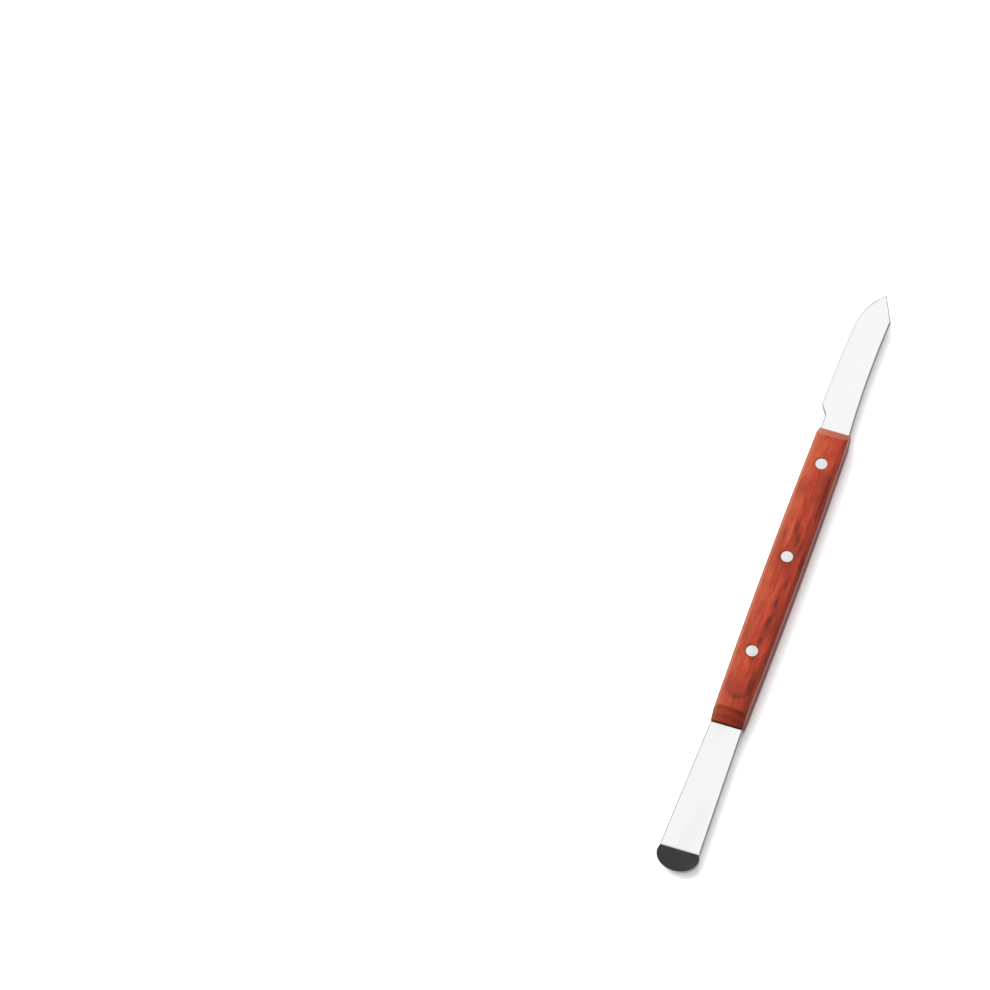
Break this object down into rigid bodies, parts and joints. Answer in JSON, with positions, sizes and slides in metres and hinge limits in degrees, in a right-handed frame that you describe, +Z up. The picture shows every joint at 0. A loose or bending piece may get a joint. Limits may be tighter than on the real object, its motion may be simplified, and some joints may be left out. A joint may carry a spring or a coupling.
{
  "type": "sculpting spatula",
  "caption": "Double-ended modelling tool with riveted wooden handle scales, a small knife at one end and a flat spatula with a turned-down rounded lip at the other.",
  "frame": {"origin": "middle of the lower scale's outer face, the face that the tool rests on, at half the handle's length and on its centre line", "axes": "+X along the tool to the point of the knife, +Y to the side of the cutting edge, +Z up through the layers of the handle, away from the rest face"},
  "size_m": [0.1691, 0.0109, 0.0081],
  "materials": {
    "polished_steel": "polished, with faint lengthwise grinding lines",
    "red_wood": "oiled reddish hardwood, satin",
    "pin_metal": "sanded flush, satin"
  },
  "bodies": {
    "root": {"steel_strip": "polished_steel", "upper_scale": "red_wood", "lower_scale": "red_wood", "knife_end_pin": "pin_metal", "middle_pin": "pin_metal", "spatula_end_pin": "pin_metal"}
  },
  "joints": []
}
